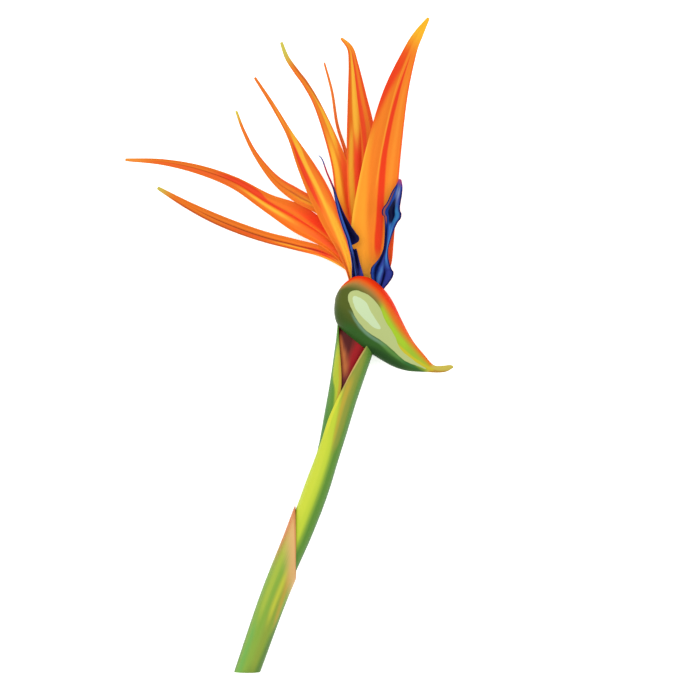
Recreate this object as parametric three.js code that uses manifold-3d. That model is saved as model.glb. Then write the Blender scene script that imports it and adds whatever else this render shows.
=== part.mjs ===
// A cut bird of paradise flower lying on its side on a table, in millimetres.
// x runs to the right and y up the stalk as one looks down on it, z up from the table, and
// the origin is on the table under the middle of the flower's outline.
import * as THREE from "three";
import { mergeVertices } from "three/addons/utils/BufferGeometryUtils.js";
import Module from "manifold-3d";

const wasm = await Module();
wasm.setup();

// Driving dimensions.
const CUT_Y = -147.2; // the plane of the florist's cut across the stalk
const HEART_Z = 11; // height of the stalk's head above the table, half the spathe's thickness
const CLEARANCE = 0.3; // what neighbouring pieces keep between them

// The stalk's line from the cut to its head: x, y, z.
const STALK_LINE = [
  [-19, -147.2, 5.7],
  [-7.2, -114, 6.5],
  [6.2, -82, 7.5],
  [17, -51.5, 8.7],
  [24.8, -21.5, 10],
  [31, 5, HEART_Z],
  [33.5, 16, HEART_Z],
];

// Stalk: a solid rod that swells into a neck under the spathe, then into the head that the
// flower parts grow from. Rows: distance from the cut, radius.
const STALK_SIDES = 14;
const STALK_ROWS = 22;
const STALK_SIZES = [
  [0, 3.4],
  [50, 3.3],
  [100, 3.1],
  [125, 3.5],
  [145, 4.8],
  [160, 5],
  [171.5, 4.2],
];
const HEAD = { x: 34.5, y: 17.5, long: 7, short: 4.5, tall: 6.5, slope: -35 };

// Spathe: one thick bract folded along its keel into a beaked boat, its two margins meeting
// along the top and parted where the flower comes out.
// Rows: margin x, y, keel x, y, half thickness, half gap between the margins.
const SPATHE_ROWS = 26;
const SPATHE_COLUMNS = 20;
const SPATHE_WALL = { base: 1.1, tip: 0.55 };
const SPATHE_STATIONS = [
  [20.4, 18.8, 20.2, 17.4, 0.5, 0.25],
  [21.1, 22.4, 20.4, 13.2, 4.4, 2.4],
  [24, 27.4, 22.1, 8.6, 7.9, 6],
  [30.2, 31, 27.2, 3.6, 10.1, 7],
  [36.8, 30.1, 33.9, -1.8, 10.6, 7],
  [42.6, 26.1, 40.8, -6.2, 9.8, 5.6],
  [47.3, 19.9, 47.4, -9.4, 8.2, 2.4],
  [51.6, 10.7, 53.4, -11.2, 6.3, 0.8],
  [56, 2, 58.5, -11.8, 4.5, 0.6],
  [61.2, -4.5, 63, -12.1, 2.9, 0.5],
  [65.2, -9.1, 67, -12.3, 1.7, 0.45],
  [69.5, -9.2, 70.6, -12, 1.35, 0.4],
  [73.3, -8.9, 73.6, -10.9, 1.1, 0.35],
];

// Upper sheath: a thin leaf rolled round the stalk, one edge over the other, that opens into
// a V below the spathe. Rows: distance from the cut, outer radius, growth in one turn, and the
// angles at which the roll starts and ends.
const SHEATH_WALL = 0.7;
const UPPER_SHEATH_ROWS = 22;
const SHEATH_COLUMNS = 20;
const UPPER_SHEATH = [
  [0, 4.6, 0, 197, 552],
  [45, 4.9, 0, 197, 552],
  [66, 5.2, 0, 197, 552],
  [80, 5.35, 0, 197, 552],
  [91, 5.7, 0.6, 190, 552],
  [101, 5.7, 1, 165, 546],
  [110, 5.9, 1, 130, 515],
  [120, 6.5, 1, 105, 490],
  [134, 7.4, 0.9, 106, 462],
  [148, 8.5, 0.6, 138, 420],
  [166, 9.8, 0.4, 165, 405],
];

// Lower sheath: a closed roll with its seam underneath and a slanting mouth, highest at the
// left. Its size: outer radii, distance of the mouth from the cut and what slants it.
const LOWER_SHEATH_ROWS = 9;
const LOWER_SHEATH = { atCut: 5.65, atMouth: 6.25, mouth: 63.3, slant: 16.3, start: -83, end: 270 };

// The orange sepals, numbered from left to right as they fan out: petal-like blades with a
// channel down the face, its sides sloping at so many degrees.
// Rows: rib x, y, z, width left and right of the rib, roll in degrees that lifts the left edge.
const SEPALS = [
  {
    channel: 20,
    stations: [
      [30.4, 20, 8.4, 1.3, 1.3, 0],
      [26.8, 35, 7.9, 2, 2, 0],
      [19, 46.6, 7.9, 4.4, 4.4, 0],
      [5.2, 56.8, 8.4, 6.3, 6.3, 0],
      [-9.9, 64.2, 8.6, 4.3, 4.3, 0],
      [-24.4, 72.8, 9, 2.9, 2.9, 0],
      [-40.1, 78.9, 9.5, 2.2, 2.2, 0],
      [-56.8, 82.4, 9.5, 1.5, 1.5, 0],
      [-73.6, 83.2, 9, 0.6, 0.6, 0],
    ],
  },
  {
    channel: 20,
    stations: [
      [30.4, 19.5, 6.4, 1.2, 1.2, 0],
      [25.9, 35.9, 5.5, 1.9, 1.9, 0],
      [15.2, 41.9, 5.2, 2.5, 2.5, 0],
      [2.2, 45.4, 4.8, 2.7, 2.7, 0],
      [-10.7, 48.7, 4.3, 2.7, 2.7, 0],
      [-23.4, 53, 3.5, 2.7, 2.7, 0],
      [-35.4, 58, 2.6, 2.4, 2.4, 0],
      [-47.4, 64, 1.6, 1.7, 1.7, 0],
      [-59, 70.8, 0.34, 0.7, 0.7, 0],
    ],
  },
  {
    channel: 18,
    stations: [
      [30.5, 20.5, 10.4, 1.2, 1.2, 0],
      [28.1, 34, 10.3, 1.5, 1.5, 0],
      [24.5, 48, 11.4, 2, 2, 0],
      [15.5, 60.3, 12.4, 2.9, 2.9, 0],
      [3.6, 67.3, 12.5, 3, 3, 0],
      [-6, 74.3, 12.5, 2, 2, 0],
      [-14.5, 85.3, 13.5, 1.1, 1.1, 0],
      [-20, 96, 14, 0.7, 0.7, 0],
      [-23.5, 105.3, 14, 0.5, 0.5, 0],
    ],
  },
  {
    channel: 20,
    stations: [
      [30.3, 21, 12.4, 1.3, 1.3, 0],
      [28.2, 32, 12.7, 1.9, 1.9, 0],
      [25, 42.5, 14.4, 3, 3, 0],
      [19.5, 55.5, 16.2, 4.8, 4.8, 0],
      [13.4, 69, 17.6, 5, 5, 0],
      [6.7, 81.8, 19, 3.4, 3.4, 0],
      [0.6, 94.5, 20, 1.3, 1.3, 0],
      [-7.2, 107.8, 20, 0.95, 0.95, 0],
      [-14.8, 119.9, 19, 0.5, 0.5, 0],
    ],
  },
  {
    channel: 14,
    stations: [
      [33.9, 19.5, 8.3, 1.3, 1.3, 0],
      [31.3, 34, 8, 1.5, 1.5, 8],
      [28.1, 50, 8.6, 3.2, 3.2, 14],
      [25.3, 66, 9.6, 4.5, 4.5, 14],
      [22.8, 80.8, 11, 3.9, 3.9, 8],
      [18.6, 95.2, 13, 2.5, 2.5, 0],
      [12.5, 109, 15, 1.6, 1.6, 0],
      [3, 122.2, 16.5, 1.2, 1.2, 0],
      [-2.7, 135.9, 17, 0.6, 0.6, 0],
    ],
  },
  {
    channel: 20,
    stations: [
      [34.8, 19, 6.4, 1.2, 1.2, 0],
      [33, 36, 5.5, 1.5, 1.5, 20],
      [30.5, 58, 5.4, 2, 2, 35],
      [26.3, 84, 6.6, 1.8, 1.8, 60],
      [21.8, 99, 8, 1.6, 1.6, 70],
      [19.4, 114, 9, 1.3, 1.3, 70],
      [16, 126.8, 10, 0.5, 0.5, 60],
    ],
  },
  {
    channel: 18,
    stations: [
      [34.6, 20, 10.1, 1.4, 1.4, 0],
      [33.3, 33, 10.3, 2.2, 2.2, 0],
      [33.1, 50, 12, 4.8, 4.8, 0],
      [33.2, 70, 13, 7, 7, 0],
      [32.6, 93, 14, 6.7, 6.7, 0],
      [30.9, 112, 15, 4.7, 4.7, 0],
      [29.3, 126, 15, 2.5, 2.5, 0],
      [27.6, 133, 14.5, 1.5, 1.5, 0],
      [23.8, 137.6, 13.5, 0.5, 0.5, 0],
    ],
  },
  {
    channel: 12,
    stations: [
      [36.8, 19.5, 12, 1.6, 1.6, 0],
      [36.6, 30, 12.8, 3, 3, 0],
      [37.6, 46, 15.6, 7.2, 7.2, 0],
      [39.4, 65, 18, 8.7, 8.7, 0],
      [42.8, 88, 20, 7.7, 7.7, 0],
      [48, 112, 20.5, 5.8, 5.8, 0],
      [54.3, 131.5, 19.5, 3.4, 3.4, 0],
      [63, 146.7, 17, 0.6, 0.6, 0],
    ],
  },
];

// The blue arrow-shaped petals, blades of the same kind.
const ARROW_LEFT = {
  channel: 24,
  rows: 28,
  thick: [1.1, 0.6],
  stations: [
    [32.3, 20.2, 14.4, 1.3, 1.3, 0],
    [31.2, 30, 15.1, 1.9, 2.4, 0],
    [29.7, 38, 17, 1.5, 2.1, 0],
    [28.9, 42, 18, 1.4, 2, 0],
    [28.4, 43.6, 18.4, 1.4, 2.2, 0],
    [27.8, 46, 19, 1.4, 5, 0],
    [27, 48.6, 19.4, 1.4, 4.2, 0],
    [25.4, 53, 20, 1.3, 3, 0],
    [23.5, 58.5, 20.4, 1.2, 1.8, 0],
    [21.8, 64.5, 20.6, 0.9, 1, 0],
    [20.4, 70.2, 20.8, 0.4, 0.5, 0],
  ],
};
const ARROW_RIGHT = {
  channel: 22,
  rows: 30,
  thick: [1.1, 0.6],
  stations: [
    [38.4, 17.4, 13.8, 1.3, 1.3, 0],
    [40.3, 24.8, 14.3, 2.1, 2.1, 0],
    [41.6, 30.2, 16, 4.2, 4.1, 0],
    [42.1, 34.2, 18.2, 4.8, 5.5, 0],
    [42.9, 38.4, 19.8, 2.9, 3.3, 0],
    [43.9, 42.2, 20.8, 1.8, 1.9, 0],
    [45, 47.8, 21.4, 1.6, 1.6, 0],
    [45.7, 54, 21.8, 2, 2.7, 0],
    [46.3, 59, 22, 3.7, 4.9, 0],
    [47.5, 64, 22.2, 3.4, 3.6, 0],
    [48.9, 69, 22.2, 2.2, 2.6, 0],
    [50.3, 74.6, 22, 0.6, 0.6, 0],
  ],
};

// Style: a thread that lies in the left arrow's channel and runs on past its tip.
// Rows: x, y, z, radius.
const STYLE_SIDES = 6;
const STYLE_ROWS = 24;
const STYLE_LINE = [
  [31.9, 24, 16.4, 0.45],
  [31.2, 30, 16.5, 0.45],
  [29.7, 38, 18.4, 0.45],
  [28.4, 43.6, 19.8, 0.45],
  [27, 48.6, 20.8, 0.45],
  [25.4, 53, 21.4, 0.45],
  [23.5, 58.5, 21.8, 0.45],
  [21.8, 64.5, 22, 0.45],
  [20.4, 70.2, 22.1, 0.45],
  [17.6, 77, 21.5, 0.45],
  [15.6, 82.9, 20.5, 0.4],
  [13.7, 85, 20, 0.35],
];

const COLOURS = {
  stalk: { color: 0x7a2a2a, roughness: 0.5 },
  sheath: { color: 0x9cc23a, roughness: 0.45 },
  spathe: { color: 0x5f8a3c, roughness: 0.35 },
  sepal: { color: 0xf57f20, roughness: 0.5 },
  arrow: { color: 0x22399c, roughness: 0.4 },
  style: { color: 0xb02a4a, roughness: 0.5 },
};

const UP = new THREE.Vector3(0, 0, 1);

// Rows of up to six numbers joined by a smooth curve: the function that this gives takes 0 at
// the first row to 1 at the last.
function smoothRun(rows) {
  const curves = [0, 3].map((first) => {
    const points = rows.map((row) => new THREE.Vector3(row[first], row[first + 1], row[first + 2] ?? 0));
    return new THREE.CatmullRomCurve3(points, false, "catmullrom");
  });
  return (t) => curves.flatMap((curve) => curve.getPoint(t).toArray());
}

// The directions along, across and up from a curve at t. Across points to the left of a
// traveller who goes from the curve's start to its end with the table underfoot.
function axesAt(run, t) {
  const step = 0.002;
  const ahead = new THREE.Vector3(...run(Math.min(t + step, 1)));
  const behind = new THREE.Vector3(...run(Math.max(t - step, 0)));
  const along = ahead.sub(behind).normalize();
  const across = new THREE.Vector3().crossVectors(UP, along).normalize();
  return { along, across, up: new THREE.Vector3().crossVectors(along, across) };
}

function toGeometry(points, triangles) {
  const geometry = new THREE.BufferGeometry();
  geometry.setAttribute("position", new THREE.Float32BufferAttribute(points.flatMap((p) => p.toArray()), 3));
  geometry.setIndex(triangles.flat());
  return geometry;
}

// A closed sheet between two grids of points of the same size, the front one facing out.
function sheetBetween(front, back) {
  const rows = front.length;
  const columns = front[0].length;
  const points = [...front.flat(), ...back.flat()];
  const on = (i, j) => i * columns + j;
  const under = (i, j) => rows * columns + on(i, j);
  const triangles = [];
  for (let i = 0; i < rows - 1; i++) {
    for (let j = 0; j < columns - 1; j++) {
      triangles.push([on(i, j), on(i + 1, j), on(i + 1, j + 1)], [on(i, j), on(i + 1, j + 1), on(i, j + 1)]);
      triangles.push([under(i + 1, j + 1), under(i + 1, j), under(i, j)]);
      triangles.push([under(i, j + 1), under(i + 1, j + 1), under(i, j)]);
    }
  }
  const rim = [];
  for (let i = 0; i < rows - 1; i++) rim.push([i, 0]);
  for (let j = 0; j < columns - 1; j++) rim.push([rows - 1, j]);
  for (let i = rows - 1; i > 0; i--) rim.push([i, columns - 1]);
  for (let j = columns - 1; j > 0; j--) rim.push([0, j]);
  rim.forEach((here, k) => {
    const next = rim[(k + 1) % rim.length];
    triangles.push([on(...next), on(...here), under(...here)]);
    triangles.push([on(...next), under(...here), under(...next)]);
  });
  return toGeometry(points, triangles);
}

// The grid that lies wall(i) below a grid of points, measured square to its surface.
function gridBelow(grid, wall) {
  const lastRow = grid.length - 1;
  const lastColumn = grid[0].length - 1;
  return grid.map((row, i) =>
    row.map((point, j) => {
      const lengthwise = grid[Math.min(i + 1, lastRow)][j].clone().sub(grid[Math.max(i - 1, 0)][j]);
      const crosswise = row[Math.min(j + 1, lastColumn)].clone().sub(row[Math.max(j - 1, 0)]);
      const outward = lengthwise.cross(crosswise).normalize();
      return point.clone().addScaledVector(outward, -wall(i / lastRow));
    }),
  );
}

// A solid rod through rings of points, closed by a flat fan at each end.
function rodThrough(rings) {
  const sides = rings[0].length;
  const middles = [rings[0], rings.at(-1)].map((ring) =>
    ring.reduce((sum, p) => sum.add(p), new THREE.Vector3()).divideScalar(sides),
  );
  const points = [...rings.flat(), ...middles];
  const first = points.length - 2;
  const triangles = [];
  for (let k = 0; k < sides; k++) {
    const next = (k + 1) % sides;
    for (let i = 0; i < rings.length - 1; i++) {
      const low = i * sides;
      const high = low + sides;
      triangles.push([low + k, low + next, high + next], [low + k, high + next, high + k]);
    }
    const top = (rings.length - 1) * sides;
    triangles.push([first, next, k], [first + 1, top + k, top + next]);
  }
  return toGeometry(points, triangles);
}

function toSolid(geometry) {
  const bare = geometry.clone();
  bare.deleteAttribute("normal");
  bare.deleteAttribute("uv");
  const merged = mergeVertices(bare, 1e-4);
  const { array } = merged.getAttribute("position");
  return new wasm.Manifold(
    new wasm.Mesh({ numProp: 3, vertProperties: array, triVerts: new Uint32Array(merged.index.array) }),
  );
}

function fromSolid(solid) {
  const { vertProperties, triVerts } = solid.getMesh();
  const geometry = new THREE.BufferGeometry();
  geometry.setAttribute("position", new THREE.BufferAttribute(new Float32Array(vertProperties), 3));
  geometry.setIndex(new THREE.BufferAttribute(triVerts, 1));
  return geometry;
}

const flower = new THREE.Group();
flower.name = "bird_of_paradise_flower";

function addPiece(name, geometry, { color, roughness }) {
  const mesh = new THREE.Mesh(geometry, new THREE.MeshStandardMaterial({ color, roughness, metalness: 0 }));
  mesh.name = name;
  flower.add(mesh);
}

const stalkCurve = new THREE.CatmullRomCurve3(
  STALK_LINE.map((p) => new THREE.Vector3(...p)),
  false,
  "catmullrom",
);
const STALK_LENGTH = stalkCurve.getLength();
const stalkAt = (share) => stalkCurve.getPointAt(THREE.MathUtils.clamp(share, 0, 1)).toArray();

// The point at a distance from the cut, an angle round the stalk and a radius from its line.
// The angle is 0 at the right, 90 at the top and 180 at the left. A point at the cut is slid
// along the stalk onto the plane of the cut.
function roundStalk(distance, degrees, radius) {
  const share = distance / STALK_LENGTH;
  const { along, across, up } = axesAt(stalkAt, share);
  const angle = THREE.MathUtils.degToRad(degrees);
  const point = new THREE.Vector3(...stalkAt(share));
  point.addScaledVector(across, -radius * Math.cos(angle)).addScaledVector(up, radius * Math.sin(angle));
  if (distance <= 0) point.addScaledVector(along, (CUT_Y - point.y) / along.y);
  return point;
}

function stalkRod(extra) {
  const run = smoothRun(STALK_SIZES);
  const rings = [];
  for (let i = 0; i <= STALK_ROWS; i++) {
    const [distance, radius] = run(i / STALK_ROWS);
    const ring = [];
    for (let k = 0; k < STALK_SIDES; k++) {
      ring.push(roundStalk(distance, (-360 * k) / STALK_SIDES, radius + extra));
    }
    rings.push(ring);
  }
  return toSolid(rodThrough(rings));
}

function stalkHead(extra) {
  const ball = new THREE.SphereGeometry(1, 14, 10);
  ball.scale(HEAD.long + extra, HEAD.short + extra, HEAD.tall + extra);
  ball.rotateZ(THREE.MathUtils.degToRad(HEAD.slope));
  ball.translate(HEAD.x, HEAD.y, HEART_Z);
  return toSolid(ball);
}

function spatheGrid(extra) {
  const run = smoothRun(SPATHE_STATIONS);
  const grid = [];
  for (let i = 0; i <= SPATHE_ROWS; i++) {
    const [marginX, marginY, keelX, keelY, thick, gap] = run(i / SPATHE_ROWS);
    const margin = new THREE.Vector3(marginX, marginY, HEART_Z);
    const keel = new THREE.Vector3(keelX, keelY, HEART_Z);
    const middle = margin.clone().add(keel).divideScalar(2);
    const half = margin.distanceTo(keel) / 2;
    const upright = margin.clone().sub(keel).normalize();
    const row = [];
    for (let j = 0; j <= SPATHE_COLUMNS; j++) {
      const side = (2 * j) / SPATHE_COLUMNS - 1;
      const turn = Math.PI * Math.abs(side);
      const bulge = (thick + extra) * Math.sin(turn) + gap * Math.abs(side) ** 3;
      const point = middle.clone().addScaledVector(upright, -(half + extra) * Math.cos(turn));
      row.push(point.setZ(Math.max(HEART_Z + Math.sign(side) * bulge, 0)));
    }
    grid.push(row);
  }
  return grid;
}

function spatheShell() {
  const outer = spatheGrid(0);
  const wall = (share) => THREE.MathUtils.lerp(SPATHE_WALL.base, SPATHE_WALL.tip, share);
  return toSolid(sheetBetween(outer, gridBelow(outer, wall)));
}

// The whole space that the folded spathe takes up, with a margin round it.
function spatheBlock(extra) {
  const rings = spatheGrid(extra).map((row) => [...row].reverse());
  return toSolid(rodThrough(rings));
}

function upperSheathGrid(inset) {
  const run = smoothRun(UPPER_SHEATH);
  const grid = [];
  for (let i = 0; i <= UPPER_SHEATH_ROWS; i++) {
    const [distance, radius, growth, start, end] = run(i / UPPER_SHEATH_ROWS);
    const row = [];
    for (let j = 0; j <= SHEATH_COLUMNS; j++) {
      const angle = THREE.MathUtils.lerp(start, end, j / SHEATH_COLUMNS);
      const turnsIn = (end - angle) / 360;
      row.push(roundStalk(distance, angle, radius - growth * turnsIn - inset));
    }
    grid.push(row);
  }
  return grid;
}

function lowerSheathGrid(inset) {
  const { atCut, atMouth, mouth, slant, start, end } = LOWER_SHEATH;
  const grid = [];
  for (let i = 0; i <= LOWER_SHEATH_ROWS; i++) {
    const row = [];
    for (let j = 0; j <= SHEATH_COLUMNS; j++) {
      const angle = THREE.MathUtils.lerp(start, end, j / SHEATH_COLUMNS);
      const top = mouth - slant * Math.cos(THREE.MathUtils.degToRad(angle));
      const distance = (top * i) / LOWER_SHEATH_ROWS;
      const radius = THREE.MathUtils.lerp(atCut, atMouth, distance / mouth);
      row.push(roundStalk(distance, angle, radius - inset));
    }
    grid.push(row);
  }
  return grid;
}

// A petal-like blade along its stations, thick at the rib and thin at its edges and tip. Rows
// and columns set how finely it is divided.
function bladeSolid({ stations, channel, thick = [1.3, 0.65], rows = 18, columns = 4 }) {
  const run = smoothRun(stations);
  const front = [];
  const back = [];
  for (let i = 0; i <= rows; i++) {
    const share = i / rows;
    const [x, y, z, left, right, roll] = run(share);
    const { along, across, up } = axesAt(run, share);
    across.applyAxisAngle(along, THREE.MathUtils.degToRad(roll));
    up.applyAxisAngle(along, THREE.MathUtils.degToRad(roll));
    const slope = THREE.MathUtils.degToRad(channel);
    front.push([]);
    back.push([]);
    for (let j = 0; j <= columns; j++) {
      const side = (2 * j) / columns - 1;
      const reach = Math.abs(side) * (side < 0 ? right : left);
      const rise = reach * Math.sin(slope) * Math.abs(side) ** 0.4;
      const middle = new THREE.Vector3(x, y, z)
        .addScaledVector(across, Math.sign(side) * reach * Math.cos(slope))
        .addScaledVector(up, rise);
      const half = THREE.MathUtils.lerp(thick[0], thick[1], Math.max(Math.abs(side), share ** 3)) / 2;
      front[i].push(middle.clone().addScaledVector(up, half));
      back[i].push(middle.clone().addScaledVector(up, -half));
    }
  }
  return toSolid(sheetBetween(front, back));
}

function styleRod() {
  const run = smoothRun(STYLE_LINE);
  const rings = [];
  for (let i = 0; i <= STYLE_ROWS; i++) {
    const share = i / STYLE_ROWS;
    const [x, y, z, radius] = run(share);
    const { across, up } = axesAt(run, share);
    const ring = [];
    for (let k = 0; k < STYLE_SIDES; k++) {
      const angle = (-2 * Math.PI * k) / STYLE_SIDES;
      const point = new THREE.Vector3(x, y, z);
      point.addScaledVector(across, -radius * Math.cos(angle)).addScaledVector(up, radius * Math.sin(angle));
      ring.push(point);
    }
    rings.push(ring);
  }
  return toSolid(rodThrough(rings));
}

const stalk = stalkRod(0).add(stalkHead(0));
const seat = stalkHead(CLEARANCE);
const spathe = spatheShell().subtract(stalkRod(CLEARANCE));
const upperSheath = toSolid(sheetBetween(upperSheathGrid(0), upperSheathGrid(SHEATH_WALL)));
const lowerSheath = toSolid(sheetBetween(lowerSheathGrid(0), lowerSheathGrid(SHEATH_WALL)));

addPiece("stalk", fromSolid(stalk), COLOURS.stalk);
addPiece("spathe", fromSolid(spathe), COLOURS.spathe);
addPiece("upper_sheath", fromSolid(upperSheath.subtract(spatheBlock(1.5 * CLEARANCE))), COLOURS.sheath);
addPiece("lower_sheath", fromSolid(lowerSheath), COLOURS.sheath);
SEPALS.forEach((sepal, k) => {
  addPiece(`sepal_${k + 1}`, fromSolid(bladeSolid(sepal).subtract(seat)), COLOURS.sepal);
});
addPiece("arrow_petal_left", fromSolid(bladeSolid(ARROW_LEFT).subtract(seat)), COLOURS.arrow);
addPiece("arrow_petal_right", fromSolid(bladeSolid(ARROW_RIGHT).subtract(seat)), COLOURS.arrow);
addPiece("style", fromSolid(styleRod().subtract(seat)), COLOURS.style);

export default flower;
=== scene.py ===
import math

import bmesh
import bpy
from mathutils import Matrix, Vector


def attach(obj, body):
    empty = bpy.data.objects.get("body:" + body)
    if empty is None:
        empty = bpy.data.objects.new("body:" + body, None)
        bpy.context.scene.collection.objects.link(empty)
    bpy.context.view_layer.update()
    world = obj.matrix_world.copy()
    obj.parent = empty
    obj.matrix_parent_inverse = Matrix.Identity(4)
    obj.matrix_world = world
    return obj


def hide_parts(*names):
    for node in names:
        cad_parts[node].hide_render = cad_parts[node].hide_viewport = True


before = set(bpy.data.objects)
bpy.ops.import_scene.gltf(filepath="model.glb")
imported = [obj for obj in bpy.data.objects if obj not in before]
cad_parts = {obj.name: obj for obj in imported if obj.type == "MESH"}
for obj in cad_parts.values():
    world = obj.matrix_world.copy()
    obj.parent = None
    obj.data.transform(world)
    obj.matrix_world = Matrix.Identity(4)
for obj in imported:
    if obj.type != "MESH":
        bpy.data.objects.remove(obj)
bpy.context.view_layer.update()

# Table, light and camera. The flower lies on a white light table under wide soft lamps, so it
# throws almost no shadow. The camera hangs so high that perspective hardly shows.
MM = 0.001
TABLE_SIZE = 6
VIEW_WIDTH = 315 * MM
VIEW_MIDDLE = (27.675 * MM, -2.25 * MM)
HEART_HEIGHT = 11 * MM
LENS = 200
FILM = 36
LAMP_GAIN = 1.5
LAMPS = [((-0.5, 0.6, 1.1), 1.0, 9.3), ((0.7, -0.3, 1.3), 1.2, 6)]
TABLE_GLOW = 0.45
ROOM_LIGHT = 0.95

bpy.ops.object.select_all(action="DESELECT")
bpy.ops.mesh.primitive_plane_add(size=TABLE_SIZE)
table = bpy.context.object
table.name = "table"
table_finish = bpy.data.materials.new("white_table")
table_finish.use_nodes = True
table_shader = table_finish.node_tree.nodes["Principled BSDF"]
table_shader.inputs["Base Color"].default_value = (0.93, 0.93, 0.93, 1)
table_shader.inputs["Roughness"].default_value = 0.9
table_shader.inputs["Specular IOR Level"].default_value = 0.1
table_shader.inputs["Emission Color"].default_value = (1, 1, 1, 1)
table_shader.inputs["Emission Strength"].default_value = TABLE_GLOW
table.data.materials.append(table_finish)

for place, size, power in LAMPS:
    bpy.ops.object.light_add(type="AREA", location=place)
    lamp = bpy.context.object
    lamp.data.size = size
    lamp.data.energy = power
    aim = Vector((*VIEW_MIDDLE, 0)) - lamp.location
    lamp.rotation_euler = aim.to_track_quat("-Z", "Y").to_euler()

room = bpy.data.worlds.new("room")
room.use_nodes = True
room_shader = room.node_tree.nodes["Background"]
room_shader.inputs["Color"].default_value = (1, 1, 1, 1)
room_shader.inputs["Strength"].default_value = ROOM_LIGHT
bpy.context.scene.world = room
bpy.context.scene.view_settings.view_transform = "Standard"

camera_height = HEART_HEIGHT + VIEW_WIDTH * LENS / FILM
bpy.ops.object.camera_add(location=(*VIEW_MIDDLE, camera_height), rotation=(0, 0, 0))
camera = bpy.context.object
camera.data.lens = LENS
camera.data.sensor_width = FILM
bpy.context.scene.camera = camera

# Stalk. The solid green flower stalk, cut square by the florist, that reddens into a neck
# under the spathe and ends in the fleshy head that every flower part grows from.
STALK_LINE = [
    (-18.7, -147.3, 5.7),
    (-6.9, -114.1, 6.5),
    (6.2, -82, 7.5),
    (17.1, -51.6, 8.7),
    (24.5, -21.4, 10),
    (31, 5, 11),
    (33.5, 16, 11),
]
# Rows: distance along the line, half width, half depth.
STALK_SIZES = [
    (-8, 3.4, 3.4),
    (50, 3.3, 3.3),
    (100, 3.1, 3.1),
    (125, 4.4, 4.2),
    (136, 5.6, 4.6),
    (146, 6.8, 3.8),
    (154, 7.7, 2.9),
    (160, 7.8, 2.6),
    (171.5, 4, 2.4),
]
CUT = -147.6
HEAD_PLACE = (34.5, 17.5, 11)
HEAD_HALVES = (7, 4.5, 6.5)
HEAD_SLOPE = -35
MERGE_GAP = 0.01
CREASE_ANGLE = 60
BUNDLES_PER_MM = 1.1
CUT_EDGE = (0.03, 0.12)
FIBRE_RELIEF = 0.4
FIBRE_SHINE = 0.25


def slopes(stops):
    """How steeply a smooth run passes each of its stops, which lie one apart."""
    first = 2 * stops[0] - stops[1]
    last = 2 * stops[-1] - stops[-2]
    padded = [first, *stops, last]
    return [(after - before) / 2 for before, after in zip(padded, padded[2:])]


def smooth(stops, place):
    """The value at a place on the smooth run through stops that lie one apart."""
    k = min(int(place), len(stops) - 2)
    t = place - k
    slope = slopes(stops)
    rise = 3 * t**2 - 2 * t**3
    pull = (t**3 - 2 * t**2 + t) * slope[k] + (t**3 - t**2) * slope[k + 1]
    return stops[k] * (1 - rise) + stops[k + 1] * rise + pull


def smooth_row(table_rows, place):
    """One row of numbers from a place on the smooth run through rows of them."""
    return [smooth(list(column), place) for column in zip(*table_rows)]


def distances(points, steps):
    """How far along the smooth line through points lies each of its steps."""
    fine = 8
    here = points[0]
    travelled = 0.0
    found = [0.0]
    for k in range(1, (len(points) - 1) * steps * fine + 1):
        ahead = smooth(points, k / (steps * fine))
        travelled += (ahead - here).length
        here = ahead
        if k % fine == 0:
            found.append(travelled)
    return found


def lay_line(points, rolls=None):
    """A smooth line through points in millimetres, rolled in degrees, for a piece to follow."""
    bpy.ops.object.select_all(action="DESELECT")
    bpy.ops.curve.primitive_bezier_curve_add()
    line = bpy.context.object
    line.data.twist_mode = "Z_UP"
    line.data.resolution_u = 32
    stops = [Vector(point) * MM for point in points]
    bends = line.data.splines[0].bezier_points
    bends.add(len(stops) - 2)
    for bend, stop, slope, roll in zip(bends, stops, slopes(stops), rolls or [0] * len(stops)):
        bend.handle_left_type = bend.handle_right_type = "FREE"
        bend.co = stop
        bend.handle_left = stop - slope / 3
        bend.handle_right = stop + slope / 3
        bend.tilt = math.radians(roll)
    line.location = (0, 0, 0)
    return line


def stand_sheet(name, columns, rows):
    """A sheet one metre wide and high that stands on its foot, its left edge at x = 0.5."""
    bpy.ops.object.select_all(action="DESELECT")
    bpy.ops.mesh.primitive_grid_add(
        x_subdivisions=columns,
        y_subdivisions=rows,
        size=1,
        location=(0, 0, 0.5),
        rotation=(-math.pi / 2, math.pi, 0),
    )
    bpy.ops.object.transform_apply()
    sheet = bpy.context.object
    sheet.name = sheet.data.name = name
    by_row = [[] for _ in range(rows + 1)]
    by_column = [[] for _ in range(columns + 1)]
    for point in sheet.data.vertices:
        by_row[round(point.co.z * rows)].append(point.index)
        by_column[round((0.5 - point.co.x) * columns)].append(point.index)
    return sheet, by_row, by_column


def pick(piece, wanted):
    """In edit mode, leaves just the points with these numbers selected."""
    chosen = set(wanted)
    mesh = bmesh.from_edit_mesh(piece.data)
    for point in mesh.verts:
        point.select_set(point.index in chosen)
    mesh.select_flush_mode()
    bmesh.update_edit_mesh(piece.data)


def open_mesh():
    """Opens the active piece in edit mode, with all of it selected."""
    bpy.ops.object.mode_set(mode="EDIT")
    bpy.ops.mesh.select_all(action="SELECT")


def close_mesh():
    bpy.ops.object.mode_set(mode="OBJECT")


def size_by(across=1.0, deep=1.0, along=1.0):
    bpy.ops.transform.resize(value=(across, deep, along), center_override=(0, 0, 0))


def shift_by(across=0.0, deep=0.0, along=0.0):
    bpy.ops.transform.translate(value=(across, deep, along))


def apply_modifier(piece, kind, **settings):
    modifier = piece.modifiers.new(kind.title(), kind)
    for name, value in settings.items():
        setattr(modifier, name, value)
    bpy.context.view_layer.objects.active = piece
    bpy.ops.object.modifier_apply(modifier=modifier.name)


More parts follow.
